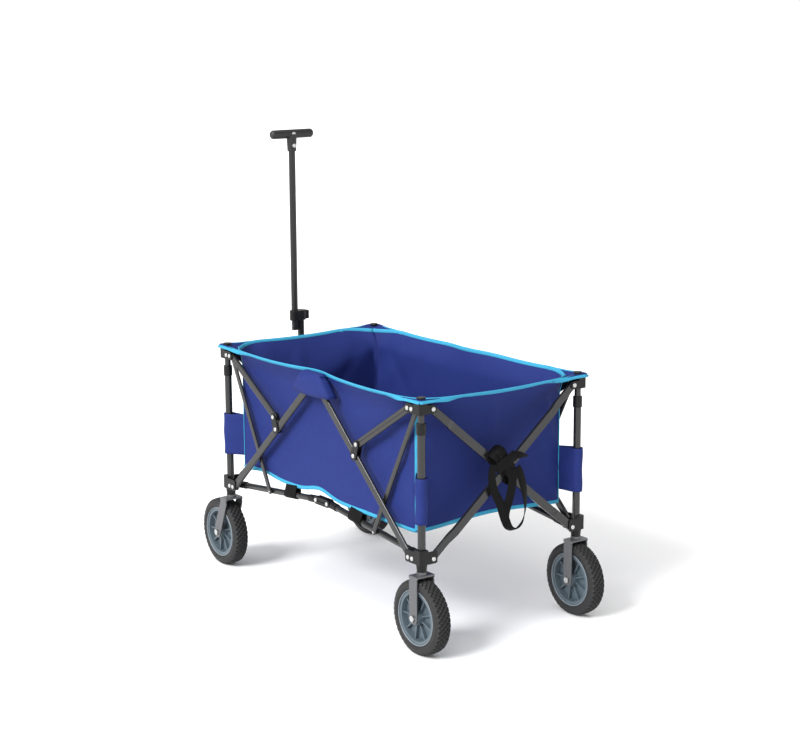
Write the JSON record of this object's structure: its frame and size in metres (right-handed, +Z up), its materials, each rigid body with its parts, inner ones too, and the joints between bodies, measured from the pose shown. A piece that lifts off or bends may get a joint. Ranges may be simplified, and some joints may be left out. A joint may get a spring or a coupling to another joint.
{
  "type": "folding beach cart",
  "caption": "Folding fabric-tub beach cart with a bunch-fold tube frame, swivelling front casters and a telescopic T-grip pull handle.",
  "frame": {"origin": "on the floor, at the middle of the open cart's length and width", "axes": "+X to the front, where the handle is; +Y to the cart's left; +Z up"},
  "size_m": [1.079, 0.5422, 1.172],
  "materials": {
    "frame_steel": "satin powder coat",
    "handle_steel": "satin powder coat",
    "fork_steel": "satin powder coat",
    "joint_plastic": "moulded",
    "grip_plastic": "moulded",
    "rim_plastic": "moulded",
    "tyre_foam": "dull",
    "tub_fabric": "woven polyester",
    "webbing": "woven tape"
  },
  "bodies": {
    "post_fl": {"lower_post_fl": "frame_steel", "lower_bracket_fl": "joint_plastic", "tub": "tub_fabric", "floor_straps": "webbing"},
    "post_fr": {"lower_post_fr": "frame_steel", "lower_bracket_fr": "joint_plastic"},
    "post_rl": {"lower_post_rl": "frame_steel", "lower_bracket_rl": "joint_plastic", "fork_rl": "fork_steel"},
    "post_rr": {"lower_post_rr": "frame_steel", "lower_bracket_rr": "joint_plastic", "fork_rr": "fork_steel"},
    "upper_fl": {"upper_post_fl": "frame_steel", "upper_bracket_fl": "joint_plastic"},
    "rail_fl": {"rail_fl": "frame_steel"},
    "long_bar_fl": {"long_bar_fl": "frame_steel"},
    "short_bar_fl": {"short_bar_fl": "frame_steel"},
    "strut_fl": {"strut_fl": "frame_steel"},
    "wheel_fl": {"tyre_fl": "tyre_foam", "rim_fl": "rim_plastic"},
    "upper_fr": {"upper_post_fr": "frame_steel", "upper_bracket_fr": "joint_plastic"},
    "rail_fr": {"rail_fr": "frame_steel"},
    "long_bar_fr": {"long_bar_fr": "frame_steel"},
    "short_bar_fr": {"short_bar_fr": "frame_steel"},
    "strut_fr": {"strut_fr": "frame_steel"},
    "wheel_fr": {"tyre_fr": "tyre_foam", "rim_fr": "rim_plastic"},
    "upper_rl": {"upper_post_rl": "frame_steel", "upper_bracket_rl": "joint_plastic"},
    "rail_rl": {"rail_rl": "frame_steel"},
    "long_bar_rl": {"long_bar_rl": "frame_steel"},
    "short_bar_rl": {"short_bar_rl": "frame_steel"},
    "strut_rl": {"strut_rl": "frame_steel"},
    "wheel_rl": {"tyre_rl": "tyre_foam", "rim_rl": "rim_plastic"},
    "upper_rr": {"upper_post_rr": "frame_steel", "upper_bracket_rr": "joint_plastic"},
    "rail_rr": {"rail_rr": "frame_steel"},
    "long_bar_rr": {"long_bar_rr": "frame_steel"},
    "short_bar_rr": {"short_bar_rr": "frame_steel"},
    "strut_rr": {"strut_rr": "frame_steel"},
    "wheel_rr": {"tyre_rr": "tyre_foam", "rim_rr": "rim_plastic"},
    "caster_fl": {"fork_fl": "fork_steel"},
    "caster_fr": {"fork_fr": "fork_steel"},
    "rail_joint_left": {"rail_joint_left": "joint_plastic"},
    "apex_joint_left": {"apex_joint_left": "joint_plastic"},
    "rail_joint_right": {"rail_joint_right": "joint_plastic"},
    "apex_joint_right": {"apex_joint_right": "joint_plastic"},
    "scissor_front_outer": {"scissor_front_outer": "frame_steel"},
    "scissor_front_inner": {"scissor_front_inner": "frame_steel"},
    "scissor_rear_outer": {"scissor_rear_outer": "frame_steel"},
    "scissor_rear_inner": {"scissor_rear_inner": "frame_steel"},
    "rear_strap": {"rear_strap": "webbing"},
    "handle_bracket": {"handle_bracket": "fork_steel"},
    "handle_lower": {"handle_lower": "handle_steel"},
    "handle_upper": {"handle_upper": "handle_steel", "handle_grip": "grip_plastic"}
  },
  "joints": [
    {"name": "fold", "type": "hinge", "parent": "post_fl", "child": "rail_fl", "pos_m": [0.3945, 0.225, 0.232], "axis": [0, -1, 0], "range_deg": [-73.15, 0], "deforming": ["tub", "floor_straps"]},
    {"name": "rail_joint_left_front", "type": "hinge", "parent": "rail_fl", "child": "rail_joint_left", "pos_m": [0.0075, 0.225, 0.274], "axis": [0, 1, 0], "range_deg": [-73.17, 0.02]},
    {"name": "rail_joint_left_rear", "type": "hinge", "parent": "rail_joint_left", "child": "rail_rl", "pos_m": [-0.0425, 0.225, 0.274], "axis": [0, 1, 0], "range_deg": [-73.17, 0.02]},
    {"name": "rail_rl_post", "type": "hinge", "parent": "rail_rl", "child": "post_rl", "pos_m": [-0.4295, 0.225, 0.232], "axis": [0, -1, 0], "range_deg": [-73.17, 0.02]},
    {"name": "scissor_front_outer_pivot", "type": "hinge", "parent": "post_fl", "child": "scissor_front_outer", "pos_m": [0.4207, 0.216, 0.232], "axis": [1, 0, 0], "range_deg": [-42.93, 0.02]},
    {"name": "scissor_front_crossing", "type": "hinge", "parent": "scissor_front_outer", "child": "scissor_front_inner", "pos_m": [0.4207, 0, 0.4115], "axis": [-1, 0, 0], "range_deg": [-85.84, 0.02]},
    {"name": "scissor_front_inner_pivot", "type": "hinge", "parent": "scissor_front_inner", "child": "post_fr", "pos_m": [0.4207, -0.216, 0.232], "axis": [1, 0, 0], "range_deg": [-42.93, 0.02]},
    {"name": "scissor_front_outer_top", "type": "hinge", "parent": "scissor_front_outer", "child": "upper_fr", "pos_m": [0.4207, -0.216, 0.591], "axis": [-1, 0, 0], "range_deg": [-42.93, 0.02]},
    {"name": "scissor_front_inner_top", "type": "hinge", "parent": "scissor_front_inner", "child": "upper_fl", "pos_m": [0.4207, 0.216, 0.591], "axis": [1, 0, 0], "range_deg": [-42.93, 0.02]},
    {"name": "handle_bracket_pivot", "type": "hinge", "parent": "scissor_front_outer", "child": "handle_bracket", "pos_m": [0.4207, 0, 0.4115], "axis": [-1, 0, 0], "range_deg": [-42.93, 0.02]},
    {"name": "scissor_rear_outer_pivot", "type": "hinge", "parent": "post_rl", "child": "scissor_rear_outer", "pos_m": [-0.4557, 0.216, 0.232], "axis": [1, 0, 0], "range_deg": [-42.93, 0.02]},
    {"name": "scissor_rear_crossing", "type": "hinge", "parent": "scissor_rear_outer", "child": "scissor_rear_inner", "pos_m": [-0.4557, 0, 0.4115], "axis": [-1, 0, 0], "range_deg": [-85.84, 0.02]},
    {"name": "scissor_rear_inner_pivot", "type": "hinge", "parent": "scissor_rear_inner", "child": "post_rr", "pos_m": [-0.4557, -0.216, 0.232], "axis": [1, 0, 0], "range_deg": [-42.93, 0.02]},
    {"name": "scissor_rear_outer_top", "type": "hinge", "parent": "scissor_rear_outer", "child": "upper_rr", "pos_m": [-0.4557, -0.216, 0.591], "axis": [-1, 0, 0], "range_deg": [-42.93, 0.02]},
    {"name": "scissor_rear_inner_top", "type": "hinge", "parent": "scissor_rear_inner", "child": "upper_rl", "pos_m": [-0.4557, 0.216, 0.591], "axis": [1, 0, 0], "range_deg": [-42.93, 0.02]},
    {"name": "rear_strap_hang", "type": "hinge", "parent": "scissor_rear_outer", "child": "rear_strap", "pos_m": [-0.4557, 0, 0.4115], "axis": [-1, 0, 0], "range_deg": [-42.93, 0.02]},
    {"name": "rail_fr_post", "type": "hinge", "parent": "post_fr", "child": "rail_fr", "pos_m": [0.3945, -0.225, 0.232], "axis": [0, -1, 0], "range_deg": [-73.17, 0.02]},
    {"name": "rail_joint_right_front", "type": "hinge", "parent": "rail_fr", "child": "rail_joint_right", "pos_m": [0.0075, -0.225, 0.274], "axis": [0, 1, 0], "range_deg": [-73.17, 0.02]},
    {"name": "rail_rr_post", "type": "hinge", "parent": "post_rr", "child": "rail_rr", "pos_m": [-0.4295, -0.225, 0.232], "axis": [0, 1, 0], "range_deg": [-73.17, 0.02]},
    {"name": "long_bar_fl_pivot", "type": "hinge", "parent": "post_fl", "child": "long_bar_fl", "pos_m": [0.3785, 0.2482, 0.232], "axis": [0, -1, 0], "range_deg": [-40.71, 0.02]},
    {"name": "short_bar_fl_pivot", "type": "hinge", "parent": "long_bar_fl", "child": "short_bar_fl", "pos_m": [0.16897, 0.2482, 0.46264], "axis": [0, 1, 0], "range_deg": [-97.23, 0.02]},
    {"name": "strut_fl_pivot", "type": "hinge", "parent": "upper_fl", "child": "strut_fl", "pos_m": [0.3945, 0.2377, 0.591], "axis": [0, 1, 0], "range_deg": [-22.64, 0.02]},
    {"name": "long_bar_fr_pivot", "type": "hinge", "parent": "post_fr", "child": "long_bar_fr", "pos_m": [0.3785, -0.2482, 0.232], "axis": [0, -1, 0], "range_deg": [-40.71, 0.02]},
    {"name": "short_bar_fr_pivot", "type": "hinge", "parent": "long_bar_fr", "child": "short_bar_fr", "pos_m": [0.16897, -0.2482, 0.46264], "axis": [0, 1, 0], "range_deg": [-97.23, 0.02]},
    {"name": "strut_fr_pivot", "type": "hinge", "parent": "upper_fr", "child": "strut_fr", "pos_m": [0.3945, -0.2377, 0.591], "axis": [0, 1, 0], "range_deg": [-22.64, 0.02]},
    {"name": "long_bar_rl_pivot", "type": "hinge", "parent": "post_rl", "child": "long_bar_rl", "pos_m": [-0.4135, 0.2482, 0.232], "axis": [0, 1, 0], "range_deg": [-40.71, 0.02]},
    {"name": "short_bar_rl_pivot", "type": "hinge", "parent": "long_bar_rl", "child": "short_bar_rl", "pos_m": [-0.20397, 0.2482, 0.46264], "axis": [0, -1, 0], "range_deg": [-97.23, 0.02]},
    {"name": "strut_rl_pivot", "type": "hinge", "parent": "upper_rl", "child": "strut_rl", "pos_m": [-0.4295, 0.2377, 0.591], "axis": [0, -1, 0], "range_deg": [-22.64, 0.02]},
    {"name": "long_bar_rr_pivot", "type": "hinge", "parent": "post_rr", "child": "long_bar_rr", "pos_m": [-0.4135, -0.2482, 0.232], "axis": [0, 1, 0], "range_deg": [-40.71, 0.02]},
    {"name": "short_bar_rr_pivot", "type": "hinge", "parent": "long_bar_rr", "child": "short_bar_rr", "pos_m": [-0.20397, -0.2482, 0.46264], "axis": [0, -1, 0], "range_deg": [-97.23, 0.02]},
    {"name": "strut_rr_pivot", "type": "hinge", "parent": "upper_rr", "child": "strut_rr", "pos_m": [-0.4295, -0.2377, 0.591], "axis": [0, -1, 0], "range_deg": [-22.64, 0.02]},
    {"name": "apex_left_pivot", "type": "hinge", "parent": "long_bar_fl", "child": "apex_joint_left", "pos_m": [0.0005, 0.2482, 0.575], "axis": [0, 1, 0], "range_deg": [-40.71, 0.02]},
    {"name": "apex_right_pivot", "type": "hinge", "parent": "long_bar_fr", "child": "apex_joint_right", "pos_m": [0.0005, -0.2482, 0.575], "axis": [0, 1, 0], "range_deg": [-40.71, 0.02]},
    {"name": "handle_tilt", "type": "hinge", "parent": "handle_bracket", "child": "handle_lower", "pos_m": [0.4505, -0.0195, 0.4], "axis": [0, 1, 0], "range_deg": [0, 75]},
    {"name": "handle_slide", "type": "slide", "parent": "handle_lower", "child": "handle_upper", "axis": [0, 0, 1], "range_m": [-0.2, 0]},
    {"name": "caster_fl_swivel", "type": "hinge", "parent": "post_fl", "child": "caster_fl", "pos_m": [0.4125, 0.24, 0.2], "axis": [0, 0, 1], "continuous": true},
    {"name": "caster_fr_swivel", "type": "hinge", "parent": "post_fr", "child": "caster_fr", "pos_m": [0.4125, -0.24, 0.2], "axis": [0, 0, -1], "continuous": true},
    {"name": "wheel_fl_spin", "type": "hinge", "parent": "caster_fl", "child": "wheel_fl", "pos_m": [0.4475, 0.24, 0.092], "axis": [0, 1, 0], "continuous": true},
    {"name": "wheel_fr_spin", "type": "hinge", "parent": "caster_fr", "child": "wheel_fr", "pos_m": [0.4475, -0.24, 0.092], "axis": [0, 1, 0], "continuous": true},
    {"name": "wheel_rl_spin", "type": "hinge", "parent": "post_rl", "child": "wheel_rl", "pos_m": [-0.4475, 0.24, 0.092], "axis": [0, 1, 0], "continuous": true},
    {"name": "wheel_rr_spin", "type": "hinge", "parent": "post_rr", "child": "wheel_rr", "pos_m": [-0.4475, -0.24, 0.092], "axis": [0, 1, 0], "continuous": true}
  ],
  "couplings": [
    {"joint": "rail_joint_left_front", "follows": "fold", "ratio": 1},
    {"joint": "rail_joint_left_rear", "follows": "fold", "ratio": 1},
    {"joint": "rail_rl_post", "follows": "fold", "ratio": 1},
    {"joint": "scissor_front_outer_pivot", "follows": "fold", "ratio": 0.5866},
    {"joint": "scissor_front_crossing", "follows": "fold", "ratio": 1.1732},
    {"joint": "scissor_front_inner_pivot", "follows": "fold", "ratio": 0.5866},
    {"joint": "scissor_front_outer_top", "follows": "fold", "ratio": 0.5866},
    {"joint": "scissor_front_inner_top", "follows": "fold", "ratio": 0.5866},
    {"joint": "handle_bracket_pivot", "follows": "fold", "ratio": 0.5866},
    {"joint": "scissor_rear_outer_pivot", "follows": "fold", "ratio": 0.5866},
    {"joint": "scissor_rear_crossing", "follows": "fold", "ratio": 1.1732},
    {"joint": "scissor_rear_inner_pivot", "follows": "fold", "ratio": 0.5866},
    {"joint": "scissor_rear_outer_top", "follows": "fold", "ratio": 0.5866},
    {"joint": "scissor_rear_inner_top", "follows": "fold", "ratio": 0.5866},
    {"joint": "rear_strap_hang", "follows": "fold", "ratio": 0.5866},
    {"joint": "rail_fr_post", "follows": "fold", "ratio": 1},
    {"joint": "rail_joint_right_front", "follows": "fold", "ratio": 1},
    {"joint": "rail_rr_post", "follows": "fold", "ratio": 1},
    {"joint": "long_bar_fl_pivot", "follows": "fold", "ratio": 0.55627},
    {"joint": "short_bar_fl_pivot", "follows": "fold", "ratio": 1.329},
    {"joint": "strut_fl_pivot", "follows": "fold", "ratio": 0.30922},
    {"joint": "long_bar_fr_pivot", "follows": "fold", "ratio": 0.55627},
    {"joint": "short_bar_fr_pivot", "follows": "fold", "ratio": 1.329},
    {"joint": "strut_fr_pivot", "follows": "fold", "ratio": 0.30922},
    {"joint": "long_bar_rl_pivot", "follows": "fold", "ratio": 0.55627},
    {"joint": "short_bar_rl_pivot", "follows": "fold", "ratio": 1.329},
    {"joint": "strut_rl_pivot", "follows": "fold", "ratio": 0.30922},
    {"joint": "long_bar_rr_pivot", "follows": "fold", "ratio": 0.55627},
    {"joint": "short_bar_rr_pivot", "follows": "fold", "ratio": 1.329},
    {"joint": "strut_rr_pivot", "follows": "fold", "ratio": 0.30922},
    {"joint": "apex_left_pivot", "follows": "fold", "ratio": 0.55627},
    {"joint": "apex_right_pivot", "follows": "fold", "ratio": 0.55627}
  ]
}
